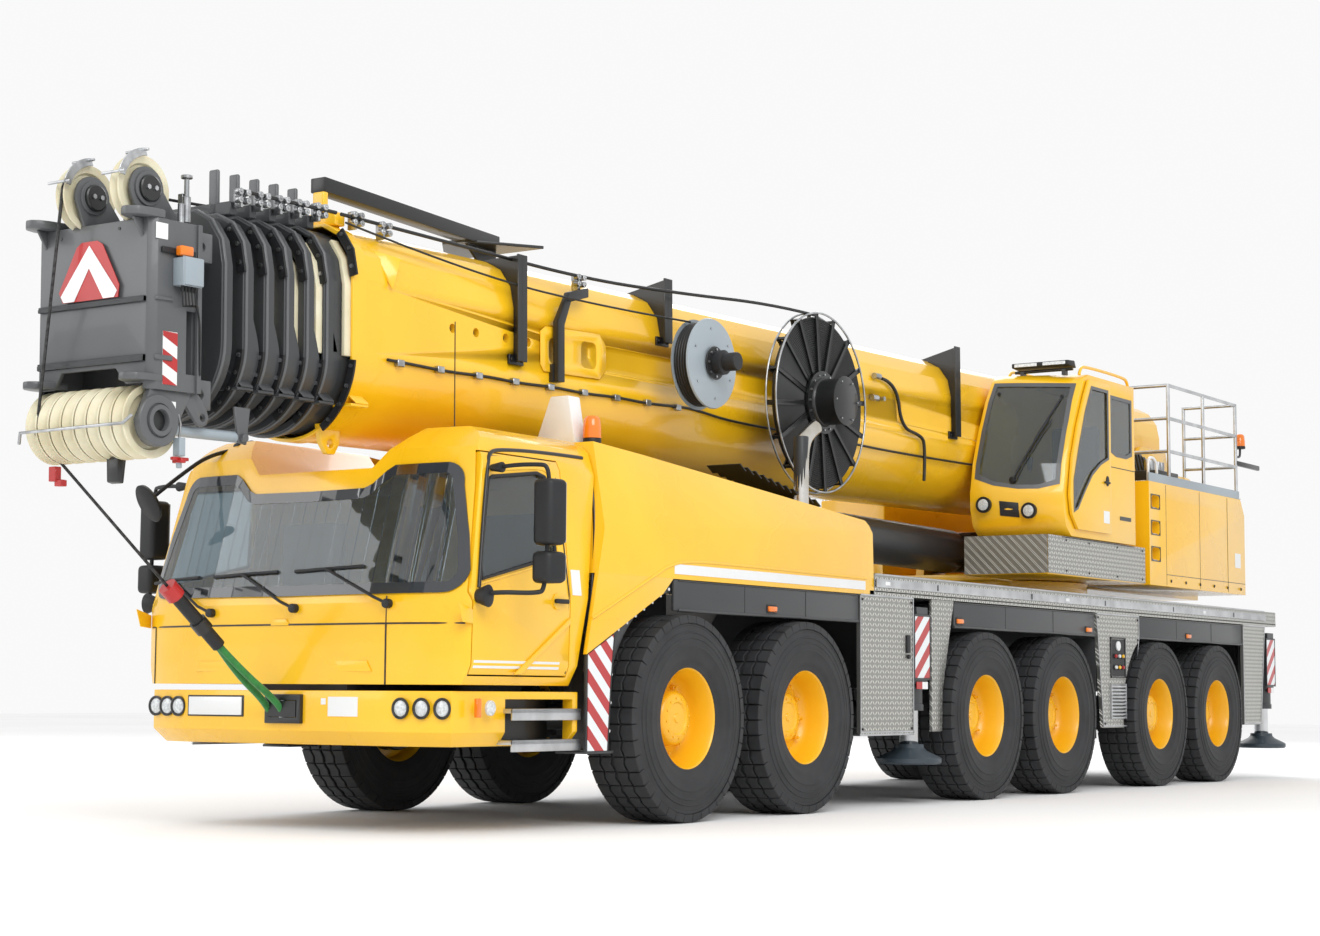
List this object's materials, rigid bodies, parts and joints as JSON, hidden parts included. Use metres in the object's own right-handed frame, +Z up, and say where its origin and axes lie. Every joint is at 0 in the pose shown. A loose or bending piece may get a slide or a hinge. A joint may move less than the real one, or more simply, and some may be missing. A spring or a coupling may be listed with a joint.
{
  "type": "mobile crane",
  "caption": "Long road-going mobile crane with a stowed telescopic boom, driver's cab, crane cab and sliding outriggers.",
  "frame": {"origin": "on the ground under the middle of the whole machine's length and width", "axes": "+X forward to the driver's cab and boom head, +Y the vehicle's left, +Z up"},
  "size_m": [17.1701, 3.7, 4.2199],
  "materials": {
    "yellow_paint": "semi-gloss yellow paint",
    "dark_paint": "satin dark grey paint",
    "grey_paint": "satin mid grey paint",
    "frame_paint": "satin dark grey chassis paint",
    "tread_plate": "chequered aluminium plate",
    "rail_aluminium": "satin tube",
    "tyre": "dusty black rubber",
    "window": "lightly tinted",
    "seat_cloth": "dark cloth",
    "cast_steel": "painted casting",
    "sheave_plastic": "cream cast nylon",
    "float_paint": "dark blue-grey"
  },
  "bodies": {
    "carrier": {"chassis_frame": "frame_paint", "axles": "cast_steel", "carrier_cab": "yellow_paint", "carrier_cab_glass": "window", "carrier_cab_interior": "seat_cloth", "front_bumper": "yellow_paint", "side_hoods": "yellow_paint", "arch_panels": "dark_paint", "deck_panels": "tread_plate", "engine_and_exhaust": "cast_steel"},
    "knuckle_1_left": {"knuckle_1_left": "cast_steel"},
    "wheel_1_left": {"wheel_1_left": "tyre"},
    "knuckle_1_right": {"knuckle_1_right": "cast_steel"},
    "wheel_1_right": {"wheel_1_right": "tyre"},
    "knuckle_2_left": {"knuckle_2_left": "cast_steel"},
    "wheel_2_left": {"wheel_2_left": "tyre"},
    "knuckle_2_right": {"knuckle_2_right": "cast_steel"},
    "wheel_2_right": {"wheel_2_right": "tyre"},
    "wheel_3_left": {"wheel_3_left": "tyre"},
    "wheel_3_right": {"wheel_3_right": "tyre"},
    "wheel_4_left": {"wheel_4_left": "tyre"},
    "wheel_4_right": {"wheel_4_right": "tyre"},
    "knuckle_5_left": {"knuckle_5_left": "cast_steel"},
    "wheel_5_left": {"wheel_5_left": "tyre"},
    "knuckle_5_right": {"knuckle_5_right": "cast_steel"},
    "wheel_5_right": {"wheel_5_right": "tyre"},
    "knuckle_6_left": {"knuckle_6_left": "cast_steel"},
    "wheel_6_left": {"wheel_6_left": "tyre"},
    "knuckle_6_right": {"knuckle_6_right": "cast_steel"},
    "wheel_6_right": {"wheel_6_right": "tyre"},
    "carrier_door_left": {"carrier_door_left": "yellow_paint"},
    "carrier_door_right": {"carrier_door_right": "yellow_paint"},
    "outrigger_front_left": {"outrigger_front_left": "yellow_paint"},
    "jack_front_left": {"jack_front_left": "float_paint"},
    "outrigger_front_right": {"outrigger_front_right": "yellow_paint"},
    "jack_front_right": {"jack_front_right": "float_paint"},
    "outrigger_rear_left": {"outrigger_rear_left": "yellow_paint"},
    "jack_rear_left": {"jack_rear_left": "float_paint"},
    "outrigger_rear_right": {"outrigger_rear_right": "yellow_paint"},
    "jack_rear_right": {"jack_rear_right": "float_paint"},
    "superstructure": {"superstructure_frame": "yellow_paint", "side_housing": "yellow_paint", "platform_railing": "rail_aluminium"},
    "hoist_drum": {"hoist_drum": "grey_paint"},
    "crane_cab": {"crane_cab": "yellow_paint", "crane_cab_glass": "window", "crane_cab_seat": "seat_cloth"},
    "crane_cab_door": {"crane_cab_door": "yellow_paint"},
    "boom_base": {"boom_base": "yellow_paint"},
    "telescope_1": {"telescope_1": "dark_paint"},
    "telescope_2": {"telescope_2": "dark_paint"},
    "telescope_3": {"telescope_3": "dark_paint"},
    "telescope_4": {"telescope_4": "dark_paint"},
    "telescope_5": {"telescope_5": "dark_paint"},
    "boom_head": {"boom_head": "grey_paint"},
    "lower_sheaves": {"lower_sheaves": "sheave_plastic"},
    "hose_reel": {"hose_reel": "dark_paint"},
    "cable_reel": {"cable_reel": "dark_paint"},
    "luff_barrel": {"luff_barrel": "dark_paint"},
    "luff_rod": {"luff_rod": "grey_paint"}
  },
  "joints": [
    {"name": "steer_1_left", "type": "hinge", "parent": "carrier", "child": "knuckle_1_left", "pos_m": [4.15, 1, 0.73], "axis": [0, 0, 1], "range_deg": [-30, 30]},
    {"name": "roll_1_left", "type": "hinge", "parent": "knuckle_1_left", "child": "wheel_1_left", "pos_m": [4.15, 1.315, 0.73], "axis": [0, 1, 0], "continuous": true},
    {"name": "steer_1_right", "type": "hinge", "parent": "carrier", "child": "knuckle_1_right", "pos_m": [4.15, -1, 0.73], "axis": [0, 0, 1], "range_deg": [-30, 30]},
    {"name": "roll_1_right", "type": "hinge", "parent": "knuckle_1_right", "child": "wheel_1_right", "pos_m": [4.15, -1.315, 0.73], "axis": [0, 1, 0], "continuous": true},
    {"name": "steer_2_left", "type": "hinge", "parent": "carrier", "child": "knuckle_2_left", "pos_m": [2.5, 1, 0.73], "axis": [0, 0, 1], "range_deg": [-23.4, 23.4]},
    {"name": "roll_2_left", "type": "hinge", "parent": "knuckle_2_left", "child": "wheel_2_left", "pos_m": [2.5, 1.315, 0.73], "axis": [0, 1, 0], "continuous": true},
    {"name": "steer_2_right", "type": "hinge", "parent": "carrier", "child": "knuckle_2_right", "pos_m": [2.5, -1, 0.73], "axis": [0, 0, 1], "range_deg": [-23.4, 23.4]},
    {"name": "roll_2_right", "type": "hinge", "parent": "knuckle_2_right", "child": "wheel_2_right", "pos_m": [2.5, -1.315, 0.73], "axis": [0, 1, 0], "continuous": true},
    {"name": "roll_3_left", "type": "hinge", "parent": "carrier", "child": "wheel_3_left", "pos_m": [-0.66, 1.315, 0.73], "axis": [0, 1, 0], "continuous": true},
    {"name": "roll_3_right", "type": "hinge", "parent": "carrier", "child": "wheel_3_right", "pos_m": [-0.66, -1.315, 0.73], "axis": [0, 1, 0], "continuous": true},
    {"name": "roll_4_left", "type": "hinge", "parent": "carrier", "child": "wheel_4_left", "pos_m": [-2.31, 1.315, 0.73], "axis": [0, 1, 0], "continuous": true},
    {"name": "roll_4_right", "type": "hinge", "parent": "carrier", "child": "wheel_4_right", "pos_m": [-2.31, -1.315, 0.73], "axis": [0, 1, 0], "continuous": true},
    {"name": "steer_5_left", "type": "hinge", "parent": "carrier", "child": "knuckle_5_left", "pos_m": [-4.7, 1, 0.73], "axis": [0, 0, 1], "range_deg": [-12, 12]},
    {"name": "roll_5_left", "type": "hinge", "parent": "knuckle_5_left", "child": "wheel_5_left", "pos_m": [-4.7, 1.315, 0.73], "axis": [0, 1, 0], "continuous": true},
    {"name": "steer_5_right", "type": "hinge", "parent": "carrier", "child": "knuckle_5_right", "pos_m": [-4.7, -1, 0.73], "axis": [0, 0, 1], "range_deg": [-12, 12]},
    {"name": "roll_5_right", "type": "hinge", "parent": "knuckle_5_right", "child": "wheel_5_right", "pos_m": [-4.7, -1.315, 0.73], "axis": [0, 1, 0], "continuous": true},
    {"name": "steer_6_left", "type": "hinge", "parent": "carrier", "child": "knuckle_6_left", "pos_m": [-6.35, 1, 0.73], "axis": [0, 0, 1], "range_deg": [-21, 21]},
    {"name": "roll_6_left", "type": "hinge", "parent": "knuckle_6_left", "child": "wheel_6_left", "pos_m": [-6.35, 1.315, 0.73], "axis": [0, 1, 0], "continuous": true},
    {"name": "steer_6_right", "type": "hinge", "parent": "carrier", "child": "knuckle_6_right", "pos_m": [-6.35, -1, 0.73], "axis": [0, 0, 1], "range_deg": [-21, 21]},
    {"name": "roll_6_right", "type": "hinge", "parent": "knuckle_6_right", "child": "wheel_6_right", "pos_m": [-6.35, -1.315, 0.73], "axis": [0, 1, 0], "continuous": true},
    {"name": "door_left", "type": "hinge", "parent": "carrier", "child": "carrier_door_left", "pos_m": [6.49, 1.425, 1.6], "axis": [0, 0, 1], "range_deg": [-75, 0]},
    {"name": "door_right", "type": "hinge", "parent": "carrier", "child": "carrier_door_right", "pos_m": [6.49, -1.425, 1.6], "axis": [0, 0, 1], "range_deg": [0, 75]},
    {"name": "beam_front_left", "type": "slide", "parent": "carrier", "child": "outrigger_front_left", "axis": [0, 1, 0], "range_m": [0, 2.1]},
    {"name": "leg_front_left", "type": "slide", "parent": "outrigger_front_left", "child": "jack_front_left", "axis": [0, 0, -1], "range_m": [0, 0.6]},
    {"name": "beam_front_right", "type": "slide", "parent": "carrier", "child": "outrigger_front_right", "axis": [0, -1, 0], "range_m": [0, 2.1]},
    {"name": "leg_front_right", "type": "slide", "parent": "outrigger_front_right", "child": "jack_front_right", "axis": [0, 0, -1], "range_m": [0, 0.6]},
    {"name": "beam_rear_left", "type": "slide", "parent": "carrier", "child": "outrigger_rear_left", "axis": [0, 1, 0], "range_m": [0, 2.1]},
    {"name": "leg_rear_left", "type": "slide", "parent": "outrigger_rear_left", "child": "jack_rear_left", "axis": [0, 0, -1], "range_m": [0, 0.6]},
    {"name": "beam_rear_right", "type": "slide", "parent": "carrier", "child": "outrigger_rear_right", "axis": [0, -1, 0], "range_m": [0, 2.1]},
    {"name": "leg_rear_right", "type": "slide", "parent": "outrigger_rear_right", "child": "jack_rear_right", "axis": [0, 0, -1], "range_m": [0, 0.6]},
    {"name": "slew", "type": "hinge", "parent": "carrier", "child": "superstructure", "pos_m": [-3.85, 0, 1.895], "axis": [0, 0, 1], "continuous": true},
    {"name": "hoist_turn", "type": "hinge", "parent": "superstructure", "child": "hoist_drum", "pos_m": [-7.75, 0, 2.64], "axis": [0, 1, 0], "continuous": true},
    {"name": "cab_tilt", "type": "hinge", "parent": "superstructure", "child": "crane_cab", "pos_m": [-4.27, 1, 2.45], "axis": [0, -1, 0], "range_deg": [0, 20]},
    {"name": "crane_door_slide", "type": "slide", "parent": "crane_cab", "child": "crane_cab_door", "axis": [-1, 0, 0], "range_m": [0, 0.6]},
    {"name": "luff", "type": "hinge", "parent": "superstructure", "child": "boom_base", "pos_m": [-6.95, 0, 3.35], "axis": [0, -1, 0], "range_deg": [0, 83]},
    {"name": "telescope_1_slide", "type": "slide", "parent": "boom_base", "child": "telescope_1", "axis": [0.9998, 0, -0.0182], "range_m": [0, 10.7]},
    {"name": "telescope_2_slide", "type": "slide", "parent": "telescope_1", "child": "telescope_2", "axis": [0.9998, 0, -0.0182], "range_m": [0, 10.7]},
    {"name": "telescope_3_slide", "type": "slide", "parent": "telescope_2", "child": "telescope_3", "axis": [0.9998, 0, -0.0182], "range_m": [0, 10.7]},
    {"name": "telescope_4_slide", "type": "slide", "parent": "telescope_3", "child": "telescope_4", "axis": [0.9998, 0, -0.0182], "range_m": [0, 10.7]},
    {"name": "telescope_5_slide", "type": "slide", "parent": "telescope_4", "child": "telescope_5", "axis": [0.9998, 0, -0.0182], "range_m": [0, 10.7]},
    {"name": "telescope_6_slide", "type": "slide", "parent": "telescope_5", "child": "boom_head", "axis": [0.9998, 0, -0.0182], "range_m": [0, 10.7]},
    {"name": "lower_sheaves_turn", "type": "hinge", "parent": "boom_head", "child": "lower_sheaves", "pos_m": [8.31674, 0, 2.48076], "axis": [0, 1, 0], "continuous": true},
    {"name": "hose_reel_turn", "type": "hinge", "parent": "boom_base", "child": "hose_reel", "pos_m": [3.01311, 0.9, 3.43118], "axis": [0, 1, 0], "continuous": true},
    {"name": "cable_reel_turn", "type": "hinge", "parent": "boom_base", "child": "cable_reel", "pos_m": [1.25081, 0.9, 3.32015], "axis": [0, 1, 0], "continuous": true},
    {"name": "luff_barrel_turn", "type": "hinge", "parent": "superstructure", "child": "luff_barrel", "pos_m": [-3.1, 0, 2.33], "axis": [0, -1, 0], "range_deg": [0, 99.11]},
    {"name": "luff_rod_slide", "type": "slide", "parent": "luff_barrel", "child": "luff_rod", "axis": [0.9999, 0, 0.0108], "range_m": [0, 4.833]}
  ],
  "couplings": [
    {"joint": "steer_1_right", "follows": "steer_1_left", "ratio": 1},
    {"joint": "steer_2_left", "follows": "steer_1_left", "ratio": 0.78},
    {"joint": "steer_2_right", "follows": "steer_1_left", "ratio": 0.78},
    {"joint": "steer_5_left", "follows": "steer_1_left", "ratio": -0.4},
    {"joint": "steer_5_right", "follows": "steer_1_left", "ratio": -0.4},
    {"joint": "steer_6_left", "follows": "steer_1_left", "ratio": -0.7},
    {"joint": "steer_6_right", "follows": "steer_1_left", "ratio": -0.7},
    {"joint": "luff_barrel_turn", "follows": "luff", "ratio": 1.1939},
    {"joint": "luff_rod_slide", "follows": "luff", "m_per_rad": 3.3352}
  ]
}
